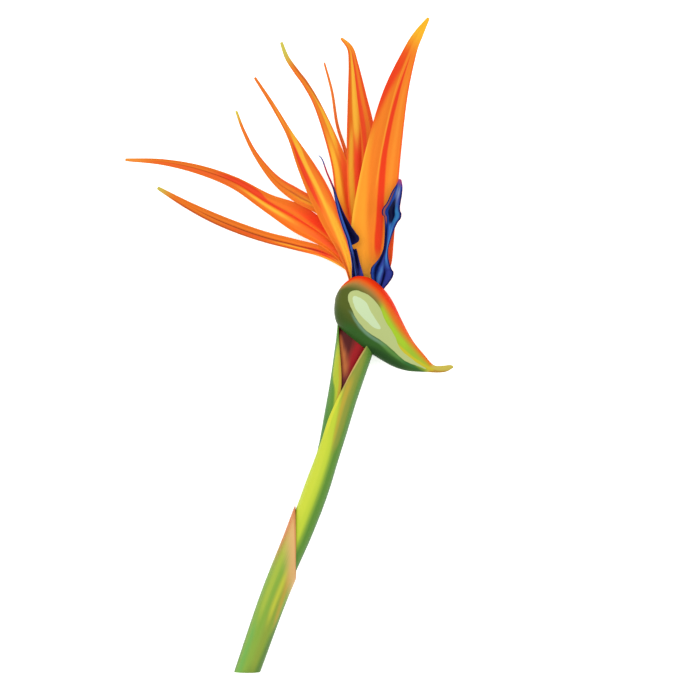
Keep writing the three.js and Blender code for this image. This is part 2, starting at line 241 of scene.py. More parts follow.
def roll_sheet(piece, span, radius):
    """Rolls a standing sheet by a span in radians, and leaves it open in edit mode."""
    apply_modifier(piece, "SIMPLE_DEFORM", deform_method="BEND", deform_axis="Z", angle=span)
    open_mesh()
    shift_by(deep=-radius)


def roll_tube(piece):
    """Rolls a standing sheet into a flat ring of radius one, and leaves it open in edit mode."""
    open_mesh()
    size_by(across=2 * math.pi)
    close_mesh()
    roll_sheet(piece, 2 * math.pi, 1)
    size_by(along=0)


def seal_tube():
    """In edit mode, joins a rolled sheet's two edges and closes its ends."""
    bpy.ops.mesh.select_all(action="SELECT")
    bpy.ops.mesh.remove_doubles(threshold=MERGE_GAP * MM)
    bpy.ops.mesh.select_all(action="DESELECT")
    bpy.ops.mesh.select_non_manifold()
    bpy.ops.mesh.fill_holes(sides=0)
    bpy.ops.mesh.select_all(action="SELECT")
    bpy.ops.mesh.normals_make_consistent(inside=False)


def follow(piece, line):
    """Carries a standing piece onto a line, its foot at the line's start, and clears the line."""
    apply_modifier(piece, "CURVE", object=line, deform_axis="POS_Z")
    bpy.data.objects.remove(line)


def cut_square(piece):
    """Cuts a piece across at the florist's cut and closes the cut face."""
    open_mesh()
    bpy.ops.mesh.bisect(plane_co=(0, CUT * MM, 0), plane_no=(0, -1, 0), use_fill=True, clear_outer=True)
    close_mesh()


def hand_over(piece, node):
    """Smooths a finished piece and puts it on the flower's frame in its node's stead."""
    bpy.ops.object.select_all(action="DESELECT")
    piece.select_set(True)
    bpy.context.view_layer.objects.active = piece
    bpy.ops.object.shade_smooth_by_angle(angle=math.radians(CREASE_ANGLE))
    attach(piece, "root")
    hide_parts(node)


class Wire:
    """A value that changes over a surface: one socket in a finish, open to sums."""

    def __init__(self, finish, socket):
        self.finish = finish
        self.socket = socket

    def __add__(self, other):
        return self.finish.sum("ADD", self, other)

    def __sub__(self, other):
        return self.finish.sum("SUBTRACT", self, other)

    def __rsub__(self, other):
        return self.finish.sum("SUBTRACT", other, self)

    def __mul__(self, other):
        return self.finish.sum("MULTIPLY", self, other)

    __radd__ = __add__
    __rmul__ = __mul__


class Finish:
    """The skin of one piece: a material built from nodes, and the piece's own pattern map."""

    def __init__(self, name, roughness, gloss=0.15, bump=0.25):
        self.material = bpy.data.materials.new(name)
        self.material.use_nodes = True
        self.tree = self.material.node_tree
        self.shader = self.tree.nodes["Principled BSDF"]
        self.shader.inputs["Specular IOR Level"].default_value = gloss
        self.roughness = roughness
        self.bump = bump
        mapped = self.node("ShaderNodeUVMap", {"uv_map": "UVMap"}, {})
        self.side = self.part(mapped, "X")
        self.height = self.part(mapped, "Y")

    def node(self, kind, settings, sockets, output=0):
        made = self.tree.nodes.new(kind)
        for name, value in settings.items():
            setattr(made, name, value)
        for name, value in sockets.items():
            self.plug(made.inputs[name], value)
        return Wire(self, made.outputs[output])

    def plug(self, socket, value):
        if isinstance(value, Wire):
            self.tree.links.new(value.socket, socket)
        else:
            socket.default_value = value

    def sum(self, operation, first, second):
        return self.node("ShaderNodeMath", {"operation": operation}, {0: first, 1: second})

    def part(self, vector, axis):
        return self.node("ShaderNodeSeparateXYZ", {}, {0: vector}, output=axis)

    def blend(self, share, under, over):
        return self.node("ShaderNodeMix", {"data_type": "RGBA"}, {0: share, 6: under, 7: over}, output=2)

    def ease(self, value, low, high):
        """0 below low, 1 above high, and a soft change between."""
        sockets = {"Value": value, "From Min": low, "From Max": high}
        return self.node("ShaderNodeMapRange", {"interpolation_type": "SMOOTHSTEP"}, sockets)

    def band(self, value, low, high, soft):
        """1 from low to high, with edges as soft as given."""
        return self.ease(value, low - soft, low + soft) * self.ease(value, high + soft, high - soft)

    def curve(self, value, stops):
        """A smooth curve through stops of a value and what it becomes."""
        bent = self.node("ShaderNodeFloatCurve", {}, {"Value": value})
        mapping = bent.socket.node.mapping
        mapping.use_clip = False
        mapping.extend = "HORIZONTAL"
        points = mapping.curves[0].points
        points[0].location = stops[0]
        points[1].location = stops[-1]
        for stop in stops[1:-1]:
            points.new(*stop)
        mapping.update()
        return bent

    def stroke(self, side, stops, soft, fade):
        """1 between a left and a right edge, given at several heights, and 0 elsewhere."""
        left = self.curve(self.height, [(height, low) for height, low, _ in stops])
        right = self.curve(self.height, [(height, high) for height, _, high in stops])
        return self.band(side, left, right, soft) * self.band(self.height, stops[0][0], stops[-1][0], fade)

    def paint(self, colour, side, strokes, fade=None):
        """Lays strokes over a colour: each a shade, how soft its edges are, a share and its stops."""
        for shade, soft, share, stops in strokes:
            mask = self.stroke(side, stops, soft, fade or soft) * share
            colour = self.blend(mask, colour, tint(*shade))
        return colour

    def lift(self, colour, low, high, share):
        """Brightens a colour below a height with painted light, to lift the shade where pieces crowd
        together and shade each other.
        """
        gain = self.ease(self.height, high, low) * share + 1
        return self.node("ShaderNodeVectorMath", {"operation": "SCALE"}, {0: colour, 3: gain})

    def show_cut(self, colour):
        """Pale pith with darker bundles of fibres where the piece is cut across its foot."""
        place = self.node("ShaderNodeTexCoord", {}, {}, output="Object")
        level = self.part(place, "Y") * (1 / MM)
        cells = self.node("ShaderNodeTexVoronoi", {}, {"Vector": place, "Scale": BUNDLES_PER_MM / MM})
        pith = self.blend(self.ease(cells, 0.2, 0.4), tint(120, 150, 70), tint(205, 218, 150))
        return self.blend(self.ease(level, CUT + CUT_EDGE[1], CUT + CUT_EDGE[0]), colour, pith)

    def grain(self, across, along, seed):
        """Noise drawn out along the piece, from 0 to 1."""
        sockets = {0: self.side * across, 1: self.height * along, 2: seed}
        place = self.node("ShaderNodeCombineXYZ", {}, sockets)
        return self.node("ShaderNodeTexNoise", {}, {"Vector": place, "Scale": 1.0, "Detail": 3.0})

    def close(self, colour, fibre):
        """Links colour, roughness and fibre relief to the shader."""
        self.plug(self.shader.inputs["Base Color"], colour)
        self.plug(self.shader.inputs["Roughness"], self.roughness + (fibre - 0.5) * FIBRE_SHINE)
        sockets = {"Strength": self.bump, "Distance": FIBRE_RELIEF * MM, "Height": fibre}
        self.plug(self.shader.inputs["Normal"], self.node("ShaderNodeBump", {}, sockets))


def tint(red, green, blue):
    """A colour as seen on a screen, in the light values that a finish mixes under these lamps."""
    return (*(((part / 255 + 0.055) / 1.055) ** 2.4 / LAMP_GAIN for part in (red, green, blue)), 1)


def dress(piece, *finishes):
    """Puts one finish on a piece, or an outer and an inner one."""
    skins = piece.data.materials
    while len(skins) < len(finishes):
        skins.append(None)
    for k, finish in enumerate(finishes):
        skins[k] = finish.material


def map_height(piece, length):
    """On a standing piece, makes the pattern's height the share of a length in millimetres."""
    pattern = piece.data.uv_layers["UVMap"].data
    for corner in piece.data.loops:
        pattern[corner.index].uv.y = piece.data.vertices[corner.vertex_index].co.z / (length * MM)


stalk_columns = 24
stalk_steps = 6
stalk, stalk_rows, _ = stand_sheet("stalk", stalk_columns, (len(STALK_SIZES) - 1) * stalk_steps)
roll_tube(stalk)
for k, ring in enumerate(stalk_rows):
    distance, half_width, half_depth = smooth_row(STALK_SIZES, k / stalk_steps)
    pick(stalk, ring)
    size_by(across=half_width * MM, deep=half_depth * MM)
    shift_by(along=distance * MM)
seal_tube()
bpy.ops.transform.rotate(value=math.pi, orient_axis="Z", center_override=(0, 0, 0))
close_mesh()
map_height(stalk, STALK_SIZES[-1][0])
follow(stalk, lay_line(STALK_LINE))
bpy.ops.object.select_all(action="DESELECT")
bpy.ops.mesh.primitive_uv_sphere_add(
    segments=28,
    ring_count=18,
    radius=MM,
    location=Vector(HEAD_PLACE) * MM,
    rotation=(0, 0, math.radians(HEAD_SLOPE)),
    scale=HEAD_HALVES,
)
head = bpy.context.object
bpy.ops.object.transform_apply()
apply_modifier(stalk, "BOOLEAN", operation="UNION", solver="EXACT", object=head)
bpy.data.objects.remove(head)
cut_square(stalk)

# Side 0.25 is the stalk's right, 0.5 its top and 0.75 its left.
finish = Finish("stalk_flesh", roughness=0.42, gloss=0.08)
fibre = finish.grain(60, 12, 1.0)
side = finish.side + (fibre - 0.5) * 0.05
green = finish.blend(fibre, tint(95, 135, 50), tint(165, 185, 75))
neck = finish.blend(fibre, tint(140, 60, 48), tint(160, 70, 52))
neck = finish.paint(neck, side, fade=0.015, strokes=[
    ((112, 44, 48), 0.03, 0.9, [(0.7, 0.3, 0.7), (0.8, 0.4, 0.64), (0.815, 0.45, 0.6)]),
    ((206, 120, 60), 0.045, 0.92,
     [(0.825, 0.515, 0.55), (0.851, 0.52, 0.585), (0.872, 0.545, 0.62), (0.887, 0.575, 0.65),
      (0.904, 0.615, 0.69), (0.925, 0.66, 0.72)]),
    ((174, 24, 34), 0.045, 0.95,
     [(0.815, 0.2, 0.46), (0.832, 0.2, 0.48), (0.848, 0.2, 0.5), (0.866, 0.2, 0.525), (0.887, 0.2, 0.53),
      (0.904, 0.2, 0.52), (1.0, 0.2, 0.52)]),
    # Painted shade: dark maroon at the top of the neck's V, under the spathe.
    ((84, 24, 24), 0.04, 0.95,
     [(0.86, 0.535, 0.545), (0.872, 0.533, 0.55), (0.887, 0.523, 0.575), (0.904, 0.51, 0.612),
      (0.921, 0.505, 0.66), (0.94, 0.5, 0.74), (1.0, 0.5, 0.74)]),
])
skin = finish.blend(finish.ease(finish.height, 0.66, 0.74), green, neck)
finish.close(finish.show_cut(skin), fibre)
dress(stalk, finish)
hand_over(stalk, "stalk")

# Lower sheath. A leaf sheath rolled once round the foot of the stalk, cut with it at the
# bottom, with a slanting mouth that has dried to peach and brown along its lip.
LOWER_RADIUS = 5.65
LOWER_FLARE = 0.9
LOWER_MOUTH = 62.7
LOWER_SLANT = 15.1
LOWER_EDGES = (-83, 270)
BELOW_CUT = 8
SHEATH_WALL = 0.7
ROLL_RADIUS = 6
# In degrees: where round the stalk a rolled sheet's x = 0 lies, and what a pattern side of 1 is.
ROLL_START = 270
PATTERN_TURN = 600


def map_turn(sheet):
    """On a flat sheath, makes the pattern's side its angle round the stalk: 600 degrees is 1."""
    pattern = sheet.data.uv_layers["UVMap"].data
    for corner in sheet.data.loops:
        turned = sheet.data.vertices[corner.vertex_index].co.x / (ROLL_RADIUS * MM)
        pattern[corner.index].uv.x = (ROLL_START - math.degrees(turned)) / PATTERN_TURN


lower_columns = 40
lower_count = 24
lower, _, lower_by_column = stand_sheet("lower_sheath", lower_columns, lower_count)
lower_span = math.radians(LOWER_EDGES[1] - LOWER_EDGES[0])
open_mesh()
for k, column in enumerate(lower_by_column):
    angle = math.radians(LOWER_EDGES[0]) + lower_span * k / lower_columns
    pick(lower, column)
    size_by(along=(LOWER_MOUTH - LOWER_SLANT * math.cos(angle) + BELOW_CUT) * MM)
bpy.ops.mesh.select_all(action="SELECT")
shift_by(across=0.5, along=-BELOW_CUT * MM)
size_by(across=lower_span * ROLL_RADIUS * MM)
shift_by(deep=(ROLL_RADIUS - LOWER_RADIUS) * MM)
flare = math.atan(LOWER_FLARE / LOWER_MOUTH)
bpy.ops.transform.rotate(value=-flare, orient_axis="X", center_override=(0, 0, 0))
bpy.ops.mesh.flip_normals()
close_mesh()
map_turn(lower)
roll_sheet(lower, lower_span, ROLL_RADIUS * MM)
close_mesh()
apply_modifier(lower, "SOLIDIFY", thickness=SHEATH_WALL * MM, offset=-1)
apply_modifier(lower, "SUBSURF", levels=2, render_levels=2)
follow(lower, lay_line(STALK_LINE))
cut_square(lower)

# Angle 0 is the stalk's right, 90 its top and 180 its left.
finish = Finish("lower_sheath_skin", roughness=0.45)
fibre = finish.grain(300, 4, 2.0)
side = finish.side * PATTERN_TURN + (fibre - 0.5) * 12
skin = finish.blend(fibre, tint(130, 170, 62), tint(152, 184, 64))
skin = finish.paint(skin, side, fade=0.1, strokes=[
    ((112, 182, 84), 16, 0.75, [(-0.1, 112, 150), (0.15, 114, 145), (0.4, 120, 140)]),
    ((146, 162, 52), 16, 0.7, [(-0.1, 56, 80), (0.4, 52, 84), (0.95, 60, 84)]),
    ((194, 206, 66), 13, 0.5, [(0.42, 112, 130), (0.7, 108, 136), (0.9, 110, 140)]),
    ((128, 174, 54), 9, 0.5, [(0.3, 97, 106), (0.6, 96, 108), (0.82, 97, 106)]),
    ((214, 214, 60), 9, 0.7, [(0.5, 70, 84), (0.7, 68, 86), (0.86, 64, 84)]),
    ((204, 166, 62), 13, 0.8, [(0.52, 30, 46), (0.7, 36, 58), (0.85, 44, 70), (1.0, 48, 76)]),
    ((84, 126, 44), 16, 0.9, [(-0.1, -60, 60), (0.3, -60, 50), (0.6, -60, 28), (0.95, -60, 6)]),
    ((80, 136, 50), 14, 0.8, [(-0.1, 150, 320), (0.4, 160, 320), (0.7, 172, 320)]),
    ((78, 124, 46), 16, 0.75, [(-0.3, 20, 130), (0.04, 20, 118), (0.12, 20, 90)]),
])
dry = finish.ease(finish.height + (fibre - 0.5) * 0.08, 0.76, 0.96)
skin = finish.blend(dry, skin, tint(230, 182, 116))
tip = finish.ease(side, 122, 164) * finish.ease(finish.height, 0.62, 0.86)
skin = finish.blend(tip * 0.9, skin, tint(214, 122, 58))
lip = finish.ease(finish.height, 0.968, 0.99)
skin = finish.blend(lip * 0.6, skin, tint(206, 118, 62))
finish.close(finish.show_cut(skin), fibre)
dress(lower, finish)
hand_over(lower, "lower_sheath")

# Upper sheath. A longer leaf sheath rolled round the stalk above and inside the lower one. It
# widens towards the spathe, where its edges part in a long V and show the crimson neck.
# Rows: distance along the stalk's line, outer radius, growth in a turn, first and last edge.
UPPER_SHEATH = [
    (-8, 4.6, 0, 197, 552),
    (45, 4.9, 0, 197, 552),
    (66, 5.45, 0, 197, 552),
    (80, 5.7, 0, 197, 552),
    (91, 5.8, 0.5, 165, 548),
    (101, 5.4, 0.35, 138, 534),
    (110, 5.6, 0.25, 116, 508),
    (120, 6.3, 0.4, 92, 490),
    (134, 7.45, 1.05, 98, 458),
    (148, 8.55, 0.8, 128, 433),
    (162, 9.9, 0.4, 170, 404),
    (165, 10.7, 0.4, 176, 400),
]
UPPER_PATTERN_TOP = 162
# Pressed flat: distance along the stalk's line, share of the depth that is left.
UPPER_FLAT = [(0, 1), (130, 1), (150, 0.8), (165, 0.58)]


def thicken(piece, wall, **settings):
    """Gives a sheet a wall inwards in millimetres, with a finish each for outside and inside."""
    piece.data.materials.append(None)
    piece.data.materials.append(None)
    apply_modifier(piece, "SOLIDIFY", thickness=wall * MM, offset=-1, material_offset=1, **settings)
    apply_modifier(piece, "SUBSURF", levels=2, render_levels=2)


upper_columns = 40
upper_steps = 3
upper_count = (len(UPPER_SHEATH) - 1) * upper_steps
upper, upper_rows, upper_by_column = stand_sheet("upper_sheath", upper_columns, upper_count)
open_mesh()
for k, column in enumerate(upper_by_column):
    pick(upper, column)
    shift_by(deep=1 - k / upper_columns)
bpy.ops.mesh.select_all(action="SELECT")
size_by(along=0)
for k, row in enumerate(upper_rows):
    distance, radius, growth, first, last = smooth_row(UPPER_SHEATH, k / upper_steps)
    turn = math.radians(last - first)
    middle = math.radians(ROLL_START - (first + last) / 2)
    pick(upper, row)
    size_by(across=turn * ROLL_RADIUS * MM, deep=max(growth, 0) * MM * turn / (2 * math.pi))
    shift_by(middle * ROLL_RADIUS * MM, (ROLL_RADIUS - radius) * MM, distance * MM)
bpy.ops.mesh.select_all(action="SELECT")
bpy.ops.mesh.flip_normals()
close_mesh()
map_turn(upper)
map_height(upper, UPPER_PATTERN_TOP)
places = [point.co.x for point in upper.data.vertices]
upper_span = (max(places) - min(places)) / (ROLL_RADIUS * MM)
roll_sheet(upper, upper_span, ROLL_RADIUS * MM)
for k, row in enumerate(upper_rows):
    distance = smooth_row(UPPER_SHEATH, k / upper_steps)[0]
    for (low, flat), (high, flatter) in zip(UPPER_FLAT, UPPER_FLAT[1:]):
        if low < distance <= high:
            pick(upper, row)
            size_by(deep=flat + (flatter - flat) * (distance - low) / (high - low))
close_mesh()
thicken(upper, SHEATH_WALL)
follow(upper, lay_line(STALK_LINE))
cut_square(upper)

# Angles run on from the first edge, so 360 is the right, 450 the top and 540 the left of the
# sheath's outer turn, and the left flap's edge lies between 92 and 176.
finish = Finish("upper_sheath_skin", roughness=0.42)
fibre = finish.grain(300, 9, 3.0)
side = finish.side * PATTERN_TURN + (fibre - 0.5) * 10
skin = finish.blend(fibre, tint(84, 138, 46), tint(104, 154, 52))
skin = finish.paint(skin, side, fade=0.03, strokes=[
    # Painted highlight: the yellow-green bands over the sheath's top and left, from 430 on.
    ((168, 198, 50), 15, 0.9, [(0.3, 440, 600), (0.55, 432, 600), (0.7, 434, 600), (0.82, 436, 600)]),
    ((150, 158, 56), 12, 0.9, [(0.66, 425, 440), (0.75, 410, 440), (0.85, 407, 440), (0.95, 404, 425)]),
    ((204, 220, 56), 10, 0.85, [(0.3, 454, 600), (0.57, 444, 600), (0.72, 449, 600), (0.8, 452, 600)]),
    ((218, 226, 64), 9, 0.5, [(0.45, 470, 515), (0.6, 464, 508), (0.7, 464, 490)]),
    ((204, 170, 50), 8, 0.8, [(0.68, 438, 444), (0.75, 436, 448), (0.83, 430, 450), (0.87, 426, 442)]),
    ((222, 224, 60), 3, 0.9, [(0.7, 478, 560), (0.75, 470, 560), (0.8, 457, 560), (0.83, 450, 560)]),
    ((214, 172, 100), 2, 0.85, [(0.84, 450, 560), (0.87, 442, 560), (0.914, 428, 560), (0.957, 414, 560)]),
    ((62, 116, 40), 12, 0.85, [(-0.1, 345, 378), (0.5, 345, 384), (1.0, 345, 376)]),
    ((72, 132, 46), 9, 0.85, [(0.55, 130, 215), (0.7, 132, 215), (0.8, 154, 215), (1.0, 170, 215)]),
    ((190, 204, 50), 7, 0.9,
     [(0.76, 98, 112), (0.82, 104, 124), (0.86, 110, 149), (0.9, 124, 158), (0.95, 140, 156)]),
    ((200, 164, 46), 5, 0.9,
     [(0.72, 80, 106), (0.79, 82, 109), (0.83, 86, 113), (0.87, 96, 122), (0.92, 118, 139)]),
])
finish.close(finish.show_cut(skin), fibre)
lining = Finish("upper_sheath_lining", roughness=0.5)
fibre = lining.grain(300, 9, 3.5)
side = lining.side * PATTERN_TURN
# The lining's orange and crimson are its own colour, painted brighter as painted light that lifts the deep
# shade in the V.
skin = lining.blend(fibre, tint(205, 105, 62), tint(235, 140, 80))
skin = lining.paint(skin, side, fade=0.03, strokes=[
    ((190, 66, 62), 14, 0.9, [(0.88, 160, 260), (0.92, 165, 260), (1.0, 170, 260)]),
    ((225, 44, 56), 16, 0.9, [(0.75, 300, 480), (0.9, 300, 470), (1.0, 300, 460)]),
])
pale = lining.ease(lining.height, 0.6, 0.5)
skin = lining.blend(pale, skin, tint(180, 195, 110))
lining.close(lining.show_cut(skin), fibre)
dress(upper, finish, lining)
hand_over(upper, "upper_sheath")

# Spathe. A stiff waxy leaf folded along its keel into a boat and drawn out into a beak, with
# the flower parts rising from the slit between its two margins.
# Rows: margin x and y, keel x and y, half thickness, half gap.
SPATHE_STATIONS = [
    (20.7, 18.8, 20.5, 17.4, 0.5, 0.25),
    (21.4, 22.3, 20.7, 13.2, 4.4, 2.4),
    (24.4, 27.1, 22.3, 8.6, 7.9, 6),
    (30.2, 31, 27.2, 3.6, 10.1, 7),
    (36.8, 30.1, 33.9, -1.8, 10.6, 7),
    (42.4, 25.8, 40.8, -6.3, 9.8, 5.6),
    (47, 19.7, 47.3, -9.9, 8.2, 2.4),
    (51.4, 10.5, 53.3, -11.7, 6.3, 0.8),
    (56, 2, 58.5, -12.1, 4.5, 0.6),
    (61.3, -4.5, 63, -12.3, 2.9, 0.5),
    (65.3, -9, 67, -12.5, 1.7, 0.45),
    (69.5, -9.2, 70.6, -12.2, 1.35, 0.4),
    (72.6, -8.9, 72.9, -11.1, 1.1, 0.35),
    (74.2, -9.3, 74.3, -10.2, 0.5, 0.2),
]
SPATHE_WALL = 1.1
SPATHE_TIP_SHARE = 0.25
SPATHE_OPENS_AT = 0.4

spathe_columns = 32
spathe_steps = 3
spathe_count = (len(SPATHE_STATIONS) - 1) * spathe_steps
spathe, spathe_rows, spathe_by_column = stand_sheet("spathe", spathe_columns, spathe_count)
wall = spathe.vertex_groups.new(name="wall")
for k, row in enumerate(spathe_rows):
    wall.add(row, 1 + (SPATHE_TIP_SHARE - 1) * k / spathe_count, "REPLACE")
roll_tube(spathe)
bpy.ops.mesh.flip_normals()
bpy.ops.transform.rotate(value=-math.pi / 2, orient_axis="Y", center_override=(0, 0, 0))
column_of = {n: k for k, column in enumerate(spathe_by_column) for n in column}
for k, row in enumerate(spathe_rows):
    margin_x, margin_y, keel_x, keel_y, thick, gap = smooth_row(SPATHE_STATIONS, k / spathe_steps)
    half = math.hypot(margin_x - keel_x, margin_y - keel_y) / 2
    lean = math.atan2(keel_x - margin_x, margin_y - keel_y)
    middle = ((margin_x + keel_x) / 2 * MM, (margin_y + keel_y) / 2 * MM, HEART_HEIGHT)
    pick(spathe, row)
    size_by(1, half * MM, thick * MM)
    bpy.ops.transform.rotate(value=-lean, orient_axis="Z", center_override=(0, 0, 0))
    shift_by(*middle)
    for n in row:
        side = 2 * column_of[n] / spathe_columns - 1
        if abs(side) > SPATHE_OPENS_AT:
            pick(spathe, [n])
            shift_by(along=math.copysign(gap * abs(side) ** 3 * MM, side))
close_mesh()
under = [point.index for point in spathe.data.vertices if point.co.z < 0]
open_mesh()
pick(spathe, under)
size_by(along=0)
close_mesh()
thicken(spathe, SPATHE_WALL, vertex_group="wall")

# The pattern lies level with the spathe: height runs in millimetres from near its round end
# to its beak, and side across that, up towards the margins.
SPATHE_HEAD = (28.6, 22.05)
SPATHE_SLOPE = -42
finish = Finish("spathe_skin", roughness=0.36, gloss=0.03, bump=0.1)
level = finish.node(
    "ShaderNodeMapping",
    {"vector_type": "TEXTURE"},
    {
        "Vector": finish.node("ShaderNodeTexCoord", {}, {}, output="Object"),
        "Location": (SPATHE_HEAD[0] * MM, SPATHE_HEAD[1] * MM, 0),
        "Rotation": (0, 0, math.radians(SPATHE_SLOPE)),
        "Scale": (MM, MM, MM),
    },
)
finish.height = finish.part(level, "X")
finish.side = finish.part(level, "Y")
fibre = finish.grain(1.6, 0.25, 4.0)
side = finish.side + (fibre - 0.5) * 0.5
skin = finish.blend(finish.ease(side, -11, -5), tint(68, 90, 36), tint(88, 100, 40))
skin = finish.paint(skin, side, fade=3, strokes=[
    ((56, 102, 42), 2.2, 0.95,
     [(6, -20, -10.5), (14, -20, -8.6), (22, -20, -6.5), (32, -20, -5), (46, -20, -2), (60, -20, -2)]),
    ((42, 78, 36), 1.3, 0.9, [(20, -20, -11.5), (27, -13, -9.4), (32, -12, -8.8), (40, -9, -7.6)]),
    ((60, 122, 66), 0.7, 0.7, [(34, -7.6, -6.6), (39, -6.6, -5.4), (44, -4.8, -3.6)]),
    ((172, 134, 70), 2.2, 0.9,
     [(-14, -3, 20), (-7, -3, 20), (-5.5, -0.5, 20), (-4.4, 1.6, 20), (-2.5, 3.6, 20), (0, 4.8, 20),
      (6, 5.4, 20), (12, 5.2, 20), (18, 5, 20)]),
    ((168, 198, 54), 1.3, 0.95,
     [(12, 5, 20), (16, 2, 20), (22, -1, 20), (30, -3.6, 20), (40, -4, 20), (52, -2, 20)]),
    ((172, 212, 48), 0.9, 0.8,
     [(14, 3.6, 5.2), (18, 2.2, 3.8), (22, 0.8, 2.4), (26, -0.6, 1.6), (34, -2.2, 0.2)]),
    ((240, 104, 30), 1.8, 0.95,
     [(-14, -1.5, 20), (-7, -1.5, 20), (-5.8, 1, 20), (-5, 3, 20), (-3.6, 5.2, 20), (-2, 6.4, 20),
      (0, 7, 20), (4, 7.7, 20), (8, 7.6, 20), (12, 6.8, 20), (16, 5.5, 20), (20, 4.2, 20), (26, 2.6, 20),
      (32, 1.6, 20), (40, 0.6, 20), (50, 0.1, 20)]),
    ((247, 54, 10), 1.1, 0.97,
     [(-14, -0.5, 20), (-7, -0.5, 20), (-6.2, 1.2, 20), (-5.4, 3.6, 20), (-4.4, 6, 20), (-2.5, 7.8, 20),
      (0, 8.9, 20), (4, 9.4, 20), (9, 9.3, 20), (14, 8.3, 20), (20, 6.9, 20), (26, 5.2, 20),
      (32, 3.6, 20)]),
    ((250, 98, 14), 0.8, 0.9, [(26, 4.6, 20), (32, 3.2, 20), (40, 1.8, 20), (50, 0.6, 20)]),
    # Painted highlight: a soft teal glint and a green band along the keel-side edge of the bright patches.
    ((122, 162, 132), 0.7, 0.75,
     [(5, -6.4, -5.4), (10, -8.1, -6.8), (14, -8.8, -7.3), (18, -8.7, -7.3), (23, -7.8, -6.6),
      (27, -7, -6)]),
    ((104, 154, 74), 0.8, 0.75, [(24, -7.8, -6.1), (30, -7.8, -6.1), (36, -7.1, -5.8)]),
])
skin = finish.paint(skin, side, strokes=[
    ((206, 188, 82), 1.2, 1.0, [(47.5, -20, 20), (62, -20, 20)]),
    ((190, 138, 50), 0.5, 0.85,
     [(48.5, -4, -0.6), (51, -3, 0.8), (53, -2, 2.4), (54.6, -1, 4.2), (57, 0, 7)]),
    ((214, 196, 46), 0.5, 0.9,
     [(29, -2.6, -2.2), (34, -3.6, -2.2), (38, -3.5, -2.1), (42, -2.9, -1.5), (46, -2.2, -0.8),
      (49.5, -1, 0.4)]),
    # Painted highlight: two nested pale patches with sharp edges, the same on both flanks.
    ((190, 203, 132), 0.13, 1.0,
     [(-1.7, -0.1, 0.6), (-1.3, -1.2, 1.7), (0, -2.6, 3.2), (2, -3.7, 4.1), (4, -4.6, 4.8), (7, -5.9, 5.2),
      (10, -6.8, 5), (12, -7.1, 4.6), (14, -7.3, 3.8), (17, -7.2, 2.3), (20, -6.7, 1.1), (24, -6.1, 0.1),
      (27, -5.9, -0.9), (30, -5.9, -2.5), (33, -6, -3.4), (36, -5.9, -3.4), (39, -5.3, -3.1),
      (42, -4.1, -2.8), (46.5, -2.4, -1.9)]),
    ((208, 229, 182), 0.13, 1.0,
     [(0.7, -0.3, 0.3), (1.1, -0.9, 0.8), (2, -1.6, 1.2), (4, -2.8, 1.8), (6, -3.6, 2), (8, -3.9, 1.6),
      (10, -4.1, 0.7), (13, -4.2, -0.3), (16, -4.2, -1.1), (18, -3.7, -1.6), (19.3, -2.8, -2.3)]),
])
finish.close(skin, fibre)
lining = Finish("spathe_lining", roughness=0.45, bump=0.1)
fibre = lining.grain(60, 10, 4.5)
fold = lining.node("ShaderNodeMath", {"operation": "ABSOLUTE"}, {0: lining.side * 2 - 1})
skin = lining.blend(fibre, tint(150, 165, 80), tint(185, 190, 105))
skin = lining.blend(lining.ease(fold, 0.7, 0.95), skin, tint(225, 80, 50))
lining.close(skin, fibre)
dress(spathe, finish, lining)
hand_over(spathe, "spathe")

# Sepals. Eight stiff orange sepals that fan out of the spathe's mouth, each a shallow channel
# with a rib and long folds, streaked with red and yellow along its length. The streaks and
# darker lines are partly the sepals' own colour and partly painted shade and highlight along
# the folds.
SEPAL_THICK = 0.95
BLADE_EDGE_SHARE = 0.55
BLADE_COLUMNS = 16
BLADE_STEPS = 4
BLADE_BOW = 1.4
FIBRE_SHADE = 0.95
# Painted light at a sepal's root: full below the first height, none above the second.
LIFT_HEIGHTS = (0.1, 0.7)


def grow_blade(name, stations, channel, folds, thick, rolls=None):
    """A folded blade through stations of x, y, z, left half width and right half width.

    Its folds are heights across it, from its left edge on, in half widths.
    """
    count = (len(stations) - 1) * BLADE_STEPS
    blade, by_row, by_column = stand_sheet(name, BLADE_COLUMNS, count)
    line = [Vector(station[:3]) for station in stations]
    reach = distances(line, BLADE_STEPS)
    edges = blade.vertex_groups.new(name="edges")
    left_side = set()
    for k, column in enumerate(by_column):
        out = abs(2 * k / BLADE_COLUMNS - 1)
        edges.add(column, 1 + (BLADE_EDGE_SHARE - 1) * out, "REPLACE")
        if 2 * k < BLADE_COLUMNS:
            left_side.update(column)
    open_mesh()
    slope = math.radians(channel)
    for k, column in enumerate(by_column):
        out = abs(2 * k / BLADE_COLUMNS - 1)
        fold = smooth(folds, k / BLADE_COLUMNS * (len(folds) - 1))
        pick(blade, column)
        shift_by(deep=(math.sin(slope) * out**BLADE_BOW + fold) / 2)
    bpy.ops.mesh.select_all(action="SELECT")
    size_by(along=0)
    for k, row in enumerate(by_row):
        left, right = smooth_row([station[3:] for station in stations], k / BLADE_STEPS)
        for half, chosen in ((left, left_side & set(row)), (right, set(row) - left_side)):
            pick(blade, chosen)
            size_by(across=2 * half * math.cos(slope) * MM, deep=2 * half * MM)
        pick(blade, row)
        shift_by(along=reach[k] * MM)
    close_mesh()
    map_height(blade, reach[-1])
    apply_modifier(blade, "SOLIDIFY", thickness=thick * MM, offset=0, vertex_group="edges")
    apply_modifier(blade, "SUBSURF", levels=2, render_levels=2)
    follow(blade, lay_line([station[:3] for station in stations], rolls))
    return blade


def colour_blade(finish, ground, strokes, seed):
    """A ground colour with strokes along the blade, broken up by its fibres, and the fibres."""
    fibre = finish.grain(70, 3, seed)
    drift = finish.grain(4, 4, seed + 10)
    side = finish.side + (drift - 0.5) * 0.05 + (fibre - 0.5) * 0.03
    darker = tint(*(FIBRE_SHADE * part for part in ground))
    return finish.paint(finish.blend(fibre, darker, tint(*ground)), side, strokes), fibre


